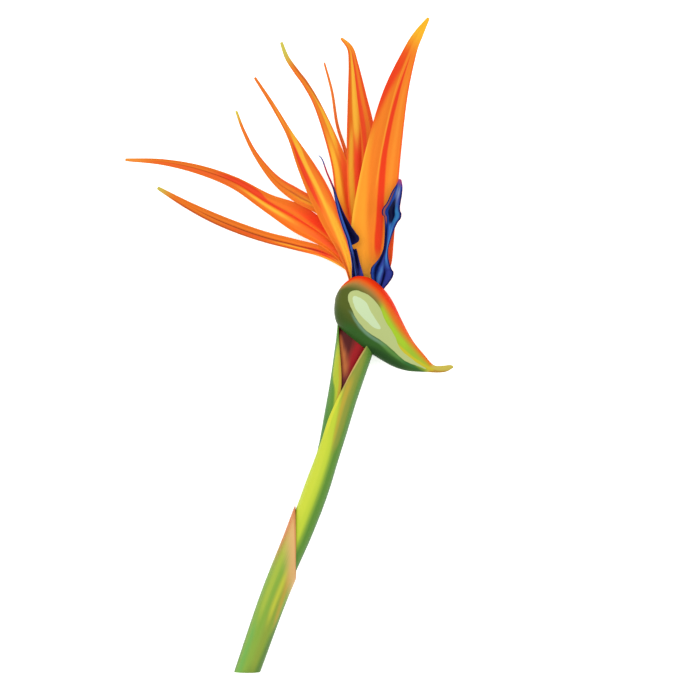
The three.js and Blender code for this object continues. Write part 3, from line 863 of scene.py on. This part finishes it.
def grow_sepal(name, seed, channel, lift, ground, folds, stations, strokes, rolls=None):
    """A sepal through stations of x, y, z and half width, its root brightened with painted light by its
    lift.
    """
    widths = [(*station, station[3]) for station in stations]
    blade = grow_blade(name, widths, channel, folds, SEPAL_THICK, rolls)
    finish = Finish(name + "_skin", roughness=0.45, gloss=0.06)
    skin, fibre = colour_blade(finish, ground, strokes, seed)
    finish.close(finish.lift(skin, *LIFT_HEIGHTS, lift), fibre)
    dress(blade, finish)
    hand_over(blade, name)


grow_sepal("sepal_1", seed=20, channel=20, lift=0.35, ground=(248, 126, 38), stations=[
    (30.4, 20, 8.4, 1.3), (27.3, 35, 7.9, 2), (19, 46.6, 7.9, 4.4), (5, 56.5, 8.4, 6.7),
    (-9.8, 64.3, 8.6, 4.2), (-24.3, 73, 9, 2.9), (-40.1, 78.9, 9.5, 2.2), (-56.8, 82.4, 9.5, 1.4),
    (-73.8, 83.5, 9, 0.6),
], folds=[
    0.1, -0.05, 0.06, 0.1, -0.06, 0.04, -0.04, 0.02, 0.08,
], strokes=[
    ((240, 54, 24), 0.08, 0.95, [(0.2, 0.6, 1.2), (0.28, 0.6, 1.2), (0.38, 0.66, 1.2)]),
    ((242, 84, 44), 0.08, 0.8, [(0.14, 0.12, 0.42), (0.22, 0.16, 0.42), (0.3, 0.2, 0.4)]),
    ((253, 190, 58), 0.06, 0.9,
     [(0.39, 0.25, 0.36), (0.44, 0.24, 0.38), (0.5, 0.25, 0.4), (0.58, 0.28, 0.38)]),
    ((240, 68, 36), 0.05, 0.95,
     [(0.26, 0.42, 0.5), (0.38, 0.42, 0.54), (0.48, 0.44, 0.64), (0.56, 0.45, 0.95), (0.68, 0.52, 0.9)]),
    ((243, 98, 42), 0.08, 0.8, [(0.62, 0.1, 0.44), (0.75, 0.1, 0.46), (0.92, 0.1, 0.4)]),
    ((168, 64, 34), 0.05, 0.75, [(0.62, 0.46, 0.56), (0.75, 0.46, 0.6), (0.9, 0.45, 0.58)]),
    ((252, 156, 60), 0.06, 0.85, [(0.94, -0.2, 1.2), (1.1, -0.2, 1.2)]),
])
grow_sepal("sepal_2", seed=21, channel=20, lift=0.35, ground=(248, 128, 38), stations=[
    (30.4, 19.5, 6.4, 1.2), (28.5, 31.6, 5.8, 1.5), (25.6, 36.2, 5.5, 2), (15.3, 42, 5.2, 2.55),
    (2.3, 45.5, 4.8, 2.6), (-10.6, 48.8, 4.3, 2.6), (-23.3, 53.1, 3.5, 2.65), (-35.3, 58.1, 2.6, 2.4),
    (-47.4, 64.2, 1.6, 1.7), (-59.6, 71.3, 0.45, 0.7),
], folds=[
    0.08, 0.02, -0.08, 0.08, -0.06, 0.1, -0.04, 0.04, 0.1,
], strokes=[
    ((253, 196, 66), 0.08, 0.85, [(0.14, -0.2, 0.5), (0.26, -0.2, 0.48)]),
    ((238, 58, 40), 0.07, 0.95, [(0.2, 0.15, 0.6), (0.26, 0.15, 0.62), (0.36, 0.2, 0.55)]),
    ((253, 190, 58), 0.06, 0.85, [(0.3, 0.2, 0.34), (0.4, 0.2, 0.36), (0.5, 0.22, 0.34)]),
    ((242, 90, 40), 0.06, 0.8, [(0.46, 0.15, 0.35), (0.55, 0.14, 0.36), (0.68, 0.16, 0.34)]),
    ((160, 58, 32), 0.045, 0.85,
     [(0.26, 0.38, 0.5), (0.4, 0.36, 0.5), (0.6, 0.37, 0.5), (0.8, 0.4, 0.48)]),
    ((176, 74, 36), 0.05, 0.7, [(0.34, -0.2, 0.07), (0.6, -0.2, 0.1), (0.92, -0.2, 0.14)]),
    ((204, 206, 88), 0.05, 0.9, [(0.96, -0.2, 1.2), (1.1, -0.2, 1.2)]),
])
grow_sepal("sepal_3", seed=22, channel=18, lift=0.45, ground=(249, 130, 40), stations=[
    (30.5, 20.5, 10.4, 1.2), (28.1, 34, 10.3, 1.5), (24.5, 48, 11.4, 2), (15.5, 60.3, 12.4, 2.9),
    (3.6, 67.4, 12.5, 3.2), (-5.9, 74.4, 12.5, 2.1), (-14.5, 85.3, 13.5, 1.1), (-20, 96, 14, 0.7),
    (-23.5, 105.3, 14, 0.5),
], folds=[
    0.08, 0.0, 0.06, -0.06, 0.06, -0.02, 0.04, 0.1,
], strokes=[
    ((243, 96, 40), 0.08, 0.8, [(0.3, 0.72, 1.2), (0.6, 0.84, 1.2), (0.9, 0.86, 1.2)]),
    ((253, 188, 56), 0.08, 0.85, [(0.44, 0.3, 0.5), (0.5, 0.28, 0.62), (0.56, 0.3, 0.56)]),
    ((198, 84, 38), 0.05, 0.75,
     [(0.46, 0.46, 0.54), (0.54, 0.4, 0.6), (0.62, 0.43, 0.52), (0.88, 0.45, 0.52)]),
    ((222, 212, 84), 0.04, 0.9, [(0.96, -0.2, 1.2), (1.1, -0.2, 1.2)]),
])
grow_sepal("sepal_4", seed=23, channel=20, lift=0.35, ground=(249, 130, 40), stations=[
    (30.3, 21, 12.4, 1.3), (28.2, 32, 12.7, 1.9), (25, 42.5, 14.4, 3), (19.5, 55.5, 16.2, 4.8),
    (13.4, 69, 17.6, 5.2), (7, 81.9, 19, 3.8), (0.6, 94.5, 20, 1.5), (-7.2, 107.8, 20, 0.95),
    (-15.1, 120, 19, 0.5),
], folds=[
    0.12, 0.0, -0.06, 0.06, 0.12, 0.02, -0.04, 0.0, 0.1,
], strokes=[
    # Painted shade: a dark reddish patch at the root's left, where sepal_4 meets sepal_1.
    ((196, 84, 38), 0.08, 0.55, [(0.08, -0.2, 0.16), (0.16, -0.2, 0.26), (0.25, -0.2, 0.1)]),
    ((255, 186, 54), 0.1, 0.95,
     [(0.04, 0.3, 0.95), (0.16, 0.38, 0.9), (0.27, 0.42, 0.82), (0.42, 0.48, 0.66)]),
    ((240, 68, 36), 0.05, 0.97,
     [(0.4, 0.22, 0.32), (0.48, 0.16, 0.36), (0.57, 0.12, 0.4), (0.64, 0.14, 0.4), (0.71, 0.24, 0.36)]),
    ((253, 190, 56), 0.05, 0.92,
     [(0.36, 0.48, 0.58), (0.48, 0.45, 0.62), (0.58, 0.42, 0.64), (0.65, 0.44, 0.84), (0.74, 0.6, 1.1)]),
    ((243, 92, 38), 0.05, 0.8, [(0.1, 0.92, 1.2), (0.4, 0.88, 1.2), (0.6, 0.93, 1.2)]),
    ((252, 168, 58), 0.06, 0.7, [(0.75, 0.1, 0.4), (0.8, 0.3, 0.7), (0.86, 0.5, 0.95)]),
])
grow_sepal("sepal_5", seed=24, channel=14, lift=0.5, ground=(249, 134, 40), stations=[
    (33.9, 19.5, 8.3, 1.3), (31.3, 34, 8, 1.5), (28.1, 50, 8.6, 3.2), (25.3, 66, 9.6, 4.5),
    (22.9, 80.8, 11, 3.8), (18.2, 95.2, 13, 2.6), (12.7, 108.5, 15, 1.6), (7.7, 117.2, 16, 1.35),
    (3.6, 122.7, 16.5, 1.2), (-0.5, 128.8, 16.8, 1), (-3.2, 135.9, 17, 0.6),
], rolls=[0, 8, 14, 14, 8, 0, 0, 0, 0, 0, 0], folds=[
    0.1, -0.02, 0.05, 0.1, 0.02, -0.06, 0.0, 0.05, 0.12,
], strokes=[
    ((243, 84, 38), 0.08, 0.9,
     [(0.2, 0.6, 1.0), (0.36, 0.5, 0.95), (0.46, 0.55, 0.95), (0.56, 0.66, 0.95)]),
    ((254, 190, 54), 0.07, 0.95, [(0.36, 0.08, 0.4), (0.5, 0.08, 0.42), (0.6, 0.16, 0.44)]),
    ((253, 192, 56), 0.07, 0.9,
     [(0.56, 0.48, 0.75), (0.66, 0.52, 0.92), (0.75, 0.55, 0.9), (0.82, 0.5, 0.7)]),
    ((242, 98, 40), 0.05, 0.75, [(0.2, -0.2, 0.08), (0.9, -0.2, 0.1)]),
    ((196, 84, 38), 0.06, 0.65, [(0.72, 0.95, 1.2), (0.8, 0.72, 1.2), (0.92, 0.74, 1.2)]),
    ((212, 206, 88), 0.04, 0.92, [(0.925, -0.2, 1.2), (1.1, -0.2, 1.2)]),
])
# Painted light: sepal_6 rolls away from the lamps, so its ground is painted a little brighter than its own
# orange.
grow_sepal("sepal_6", seed=25, channel=20, lift=0.6, ground=(252, 136, 46), stations=[
    (34.8, 19, 6.4, 1.2), (33, 36, 5.5, 1.5), (30.5, 58, 5.4, 1.8), (26.1, 84, 6.6, 1.4),
    (21.7, 99, 8, 1.25), (19.4, 114, 9, 1), (16, 127.4, 10, 0.5),
], rolls=[0, 20, 35, 60, 70, 70, 60], folds=[
    0.1, -0.04, 0.06, -0.04, 0.1,
], strokes=[
    ((243, 100, 44), 0.12, 0.75, [(0.45, -0.2, 0.5), (0.6, -0.2, 0.5), (0.78, -0.2, 0.35)]),
    ((204, 84, 44), 0.1, 0.3, [(0.3, 0.75, 1.2), (0.8, 0.8, 1.2)]),
])
grow_sepal("sepal_7", seed=26, channel=18, lift=0.65, ground=(248, 128, 36), stations=[
    (34.6, 20, 10.1, 1.4), (33.3, 33, 10.3, 2.2), (33.1, 50, 11.4, 4.8), (33.2, 70, 13, 7),
    (32.7, 93, 14, 6.9), (30.8, 112, 15, 4.4), (29.2, 126, 15, 2.3), (27.7, 133.2, 14.5, 1.4),
    (23.6, 138, 13.5, 0.5),
], folds=[
    0.12, 0.02, -0.04, 0.04, -0.06, 0.05, 0.0, -0.04, 0.1,
], strokes=[
    ((243, 92, 38), 0.05, 0.8, [(0.05, -0.2, 0.06), (0.55, -0.2, 0.06), (0.95, -0.2, 0.1)]),
    ((255, 192, 60), 0.05, 0.9,
     [(0.2, 0.06, 0.22), (0.4, 0.05, 0.22), (0.52, 0.05, 0.2), (0.64, 0.1, 0.22)]),
    ((240, 70, 36), 0.06, 0.97,
     [(0.2, 0.3, 0.5), (0.4, 0.26, 0.48), (0.54, 0.25, 0.5), (0.68, 0.3, 0.45)]),
    ((253, 190, 58), 0.06, 0.92,
     [(0.6, 0.28, 0.42), (0.7, 0.22, 0.48), (0.82, 0.22, 0.5), (0.93, 0.28, 0.5)]),
    ((240, 74, 36), 0.04, 0.95,
     [(0.52, 0.58, 0.66), (0.65, 0.54, 0.7), (0.78, 0.5, 0.68), (0.94, 0.52, 0.66)]),
    ((240, 80, 36), 0.05, 0.9, [(0.3, 0.9, 1.2), (0.6, 0.88, 1.2), (0.72, 0.86, 1.2), (0.92, 0.92, 1.2)]),
    ((253, 176, 50), 0.05, 0.7, [(0.95, 0.3, 1.2), (1.1, 0.3, 1.2)]),
])
grow_sepal("sepal_8", seed=27, channel=8, lift=0.22, ground=(252, 134, 36), stations=[
    (36.8, 19.5, 12, 1.6), (37.3, 29, 12.6, 6.4), (37.3, 37, 13.8, 9.2), (37.5, 46, 15.2, 9.9),
    (38.3, 56, 16.7, 9.9), (39.8, 68, 18.3, 9.3), (42.9, 88, 20, 7.95), (47.9, 112, 20.5, 5.75),
    (54.5, 131.3, 19.5, 3.15), (58.5, 139.5, 18.4, 2.15), (63, 146.8, 17, 0.6),
], folds=[
    0.09, 0.05, 0.03, 0.05, -0.02, -0.04, 0.03, 0.06, 0.02, 0.04, 0.08,
], strokes=[
    ((254, 166, 44), 0.08, 0.75,
     [(-0.1, 0.02, 0.6), (0.2, 0.02, 0.42), (0.4, 0.02, 0.22), (0.6, 0.02, 0.1)]),
    ((253, 186, 56), 0.04, 0.8, [(0.1, -0.1, 0.06), (0.35, -0.1, 0.05), (0.55, -0.1, 0.04)]),
    # Painted light: a brighter root, where the spathe and the left arrow petal shade it.
    ((255, 176, 66), 0.05, 0.9, [(-0.1, 0.05, 0.85), (0.05, 0.1, 0.8), (0.12, 0.2, 0.75)]),
    ((236, 66, 30), 0.05, 0.9, [(0.0, 0.88, 1.2), (0.16, 0.86, 1.2), (0.26, 0.93, 1.2)]),
    ((236, 58, 24), 0.03, 0.97,
     [(0.16, 0.6, 0.7), (0.2, 0.57, 0.73), (0.28, 0.555, 0.73), (0.37, 0.515, 0.69), (0.45, 0.48, 0.65),
      (0.53, 0.455, 0.625), (0.62, 0.49, 0.63), (0.7, 0.53, 0.66), (0.78, 0.59, 0.67),
      (0.85, 0.63, 0.66)]),
    ((254, 180, 56), 0.025, 0.6,
     [(0.4, 0.43, 0.46), (0.55, 0.42, 0.46), (0.7, 0.44, 0.47), (0.86, 0.46, 0.48)]),
    ((252, 152, 46), 0.05, 0.6, [(0.3, 0.76, 0.86), (0.5, 0.72, 0.84), (0.75, 0.76, 0.86)]),
    ((243, 88, 34), 0.03, 0.85, [(0.02, 0.94, 1.2), (0.3, 0.96, 1.2), (0.86, 0.94, 1.2)]),
    ((240, 56, 24), 0.12, 0.9,
     [(0.58, -0.2, 0.04), (0.68, -0.2, 0.18), (0.77, -0.2, 0.34), (0.84, -0.2, 0.42), (0.9, -0.2, 0.4)]),
    ((254, 190, 42), 0.05, 0.95, [(0.9, -0.2, 1.2), (1.1, -0.2, 1.2)]),
])

# Arrow petals. The two blue petals that stand in front of the sepals, narrow at the neck and
# flared into barbs higher up, with deep navy painted shade in their folds and bright blue
# painted highlights on their ridges.
ARROW_THICK = 0.85


def grow_arrow(name, seed, channel, ground, folds, stations, strokes):
    """An arrow petal through stations of x, y, z, left half width and right half width."""
    blade = grow_blade(name, stations, channel, folds, ARROW_THICK)
    finish = Finish(name + "_skin", roughness=0.38, gloss=0.06)
    finish.close(*colour_blade(finish, ground, strokes, seed))
    dress(blade, finish)
    hand_over(blade, name)


grow_arrow("arrow_petal_left", seed=40, channel=24, ground=(20, 24, 96), stations=[
    (32.3, 20.2, 14.4, 2.4, 1.9), (31.2, 30, 15.1, 3, 2.9), (30.1, 36.4, 16.6, 1.9, 2.3),
    (29.1, 41.4, 17.9, 1.6, 2.1), (28.8, 42.3, 18.1, 1.5, 2), (28.6, 43, 18.3, 1.5, 0.5),
    (28.2, 44.8, 18.7, 1.5, 0.5), (28, 45.5, 18.9, 1.5, 3.2), (27.7, 47, 19.1, 1.5, 4.7),
    (27, 49, 19.4, 1.5, 3.9), (25.4, 53, 20, 1.4, 2.9), (23.5, 58.5, 20.4, 1.2, 1.8),
    (21.8, 64.5, 20.6, 0.9, 1), (20.4, 70.2, 20.8, 0.4, 0.5),
], folds=[
    0.0, 0.1, -0.1, 0.25, 0.1, -0.15, 0.0, 0.12, 0.0,
], strokes=[
    ((62, 66, 160), 0.1, 0.9, [(-0.1, 0.42, 1.2), (0.24, 0.45, 1.2), (0.3, 0.6, 1.2)]),
    ((10, 12, 70), 0.05, 0.95, [(0.1, 0.1, 0.3), (0.22, 0.1, 0.32), (0.32, 0.05, 0.3)]),
    ((66, 108, 190), 0.05, 0.9, [(0.18, 0.36, 0.48), (0.28, 0.34, 0.48), (0.36, 0.34, 0.46)]),
    ((8, 10, 58), 0.05, 0.95, [(0.27, 0.6, 0.86), (0.34, 0.56, 0.9), (0.46, 0.5, 1.0)]),
    ((10, 14, 76), 0.04, 0.9, [(0.38, 0.12, 0.24), (0.55, 0.12, 0.24), (0.75, 0.14, 0.26)]),
    ((62, 116, 200), 0.04, 0.95,
     [(0.4, 0.3, 0.44), (0.5, 0.26, 0.38), (0.62, 0.28, 0.42), (0.76, 0.34, 0.5), (0.92, 0.4, 0.56)]),
    ((8, 8, 52), 0.06, 0.97,
     [(0.5, 0.52, 0.97), (0.56, 0.52, 0.97), (0.64, 0.55, 0.96), (0.8, 0.62, 0.92)]),
    ((36, 74, 176), 0.03, 0.8, [(0.3, -0.2, 0.06), (0.6, -0.2, 0.07), (0.98, -0.2, 0.1)]),
])
grow_arrow("arrow_petal_right", seed=41, channel=22, ground=(48, 62, 156), stations=[
    (38.4, 17.4, 13.8, 1.4, 1.4), (40.3, 24.8, 14.3, 2.6, 2.2), (41.4, 29.8, 16, 4.5, 4.6),
    (42, 33, 17.4, 5.7, 5.7), (42.1, 35, 18.5, 5.2, 4.9), (42.7, 38.6, 19.9, 2.2, 2.6),
    (43.6, 42.6, 20.8, 1.25, 1.2), (44.3, 46.8, 21.3, 1.4, 1.5), (45.2, 51.4, 21.6, 2.2, 2.2),
    (46, 55.6, 21.9, 3.2, 3.4), (46.4, 57.7, 22, 4.2, 4.6), (46.3, 59.8, 22.1, 4.8, 4.35),
    (46.9, 62.8, 22.2, 3.2, 3.5), (48.1, 67.6, 22.2, 2.2, 3.1), (49.2, 71, 22.2, 1.2, 2.2),
    (50.1, 74.2, 22, 0.5, 0.5),
], folds=[
    0.05, 0.12, -0.12, 0.12, 0.22, -0.08, 0.1, 0.0, 0.08,
], strokes=[
    ((28, 70, 162), 0.08, 0.9, [(0.1, -0.2, 0.4), (0.4, -0.2, 0.4), (0.6, -0.2, 0.5), (0.98, -0.2, 0.6)]),
    ((10, 14, 72), 0.05, 0.95,
     [(0.14, 0.12, 0.22), (0.24, 0.14, 0.26), (0.31, 0.14, 0.34), (0.38, 0.05, 0.44), (0.46, -0.2, 0.5),
      (0.56, -0.2, 0.42), (0.64, -0.2, 0.22)]),
    ((74, 128, 202), 0.05, 0.9,
     [(0.1, 0.3, 0.44), (0.2, 0.3, 0.46), (0.28, 0.38, 0.5), (0.34, 0.48, 0.56)]),
    ((8, 10, 66), 0.04, 0.97,
     [(0.1, 0.56, 0.8), (0.2, 0.56, 0.72), (0.28, 0.56, 0.68), (0.31, 0.58, 0.62)]),
    ((70, 138, 210), 0.06, 0.9,
     [(0.36, 0.6, 0.9), (0.48, 0.55, 0.9), (0.58, 0.5, 0.85), (0.66, 0.4, 0.7)]),
    ((48, 130, 184), 0.06, 0.8, [(0.64, 0.6, 0.85), (0.72, 0.66, 0.9), (0.8, 0.66, 0.88)]),
    ((6, 8, 48), 0.035, 0.97,
     [(0.65, 0.42, 0.48), (0.7, 0.36, 0.62), (0.76, 0.36, 0.7), (0.81, 0.42, 0.66), (0.85, 0.5, 0.56)]),
    ((168, 88, 60), 0.02, 0.95,
     [(0.66, 0.09, 0.16), (0.71, 0.06, 0.14), (0.78, 0.08, 0.16), (0.88, 0.12, 0.24), (0.95, 0.2, 0.32)]),
    ((146, 166, 208), 0.06, 0.75, [(0.84, 0.55, 0.78), (0.9, 0.5, 0.8), (0.95, 0.5, 0.76)]),
    ((12, 14, 76), 0.025, 0.95, [(0.2, -0.2, 0.05), (0.72, -0.2, 0.06), (0.96, -0.2, 0.1)]),
    ((16, 18, 84), 0.025, 0.9, [(0.12, 0.95, 1.2), (0.6, 0.93, 1.2), (0.93, 0.92, 1.2)]),
    ((178, 62, 110), 0.03, 0.85, [(0.965, -0.2, 1.2), (1.1, -0.2, 1.2)]),
])

# Style. The slim thread that lies in the left arrow petal's channel and runs on past its tip,
# navy on the petal, then crimson, and pale blue at the end.
# Stations: x, y, z, radius.
STYLE_STATIONS = [
    (31.9, 24, 16.4, 0.4),
    (31.2, 30, 16.5, 0.4),
    (29.7, 38, 18.4, 0.38),
    (28.4, 43.6, 19.8, 0.38),
    (27, 48.6, 20.8, 0.38),
    (25.4, 53, 21.4, 0.38),
    (23.5, 58.5, 21.8, 0.38),
    (21.8, 64.5, 22, 0.4),
    (20.3, 70.1, 22.1, 0.5),
    (17.4, 77, 21.5, 0.42),
    (15.3, 82.9, 20.5, 0.34),
    (13.5, 85, 20, 0.3),
]
# Heights between which the style takes on each shade.
STYLE_SHADES = [
    (0.15, 0.3, (44, 84, 178)),
    (0.6, 0.72, (24, 26, 92)),
    (0.72, 0.78, (178, 34, 72)),
    (0.84, 0.89, (44, 92, 160)),
    (0.92, 0.98, (150, 182, 214)),
]

style_columns = 12
style_steps = 4
style, style_rows, _ = stand_sheet("style", style_columns, (len(STYLE_STATIONS) - 1) * style_steps)
style_reach = distances([Vector(station[:3]) for station in STYLE_STATIONS], style_steps)
roll_tube(style)
for k, ring in enumerate(style_rows):
    radius = smooth_row(STYLE_STATIONS, k / style_steps)[3]
    pick(style, ring)
    size_by(across=radius * MM, deep=radius * MM)
    shift_by(along=style_reach[k] * MM)
seal_tube()
close_mesh()
apply_modifier(style, "SUBSURF", levels=1, render_levels=1)
follow(style, lay_line([station[:3] for station in STYLE_STATIONS]))

finish = Finish("style_skin", roughness=0.35)
fibre = finish.grain(12, 60, 5.0)
height = finish.height + (fibre - 0.5) * 0.02
skin = tint(16, 20, 84)
for low, high, shade in STYLE_SHADES:
    skin = finish.blend(finish.ease(height, low, high), skin, tint(*shade))
finish.close(skin, fibre)
dress(style, finish)
hand_over(style, "style")
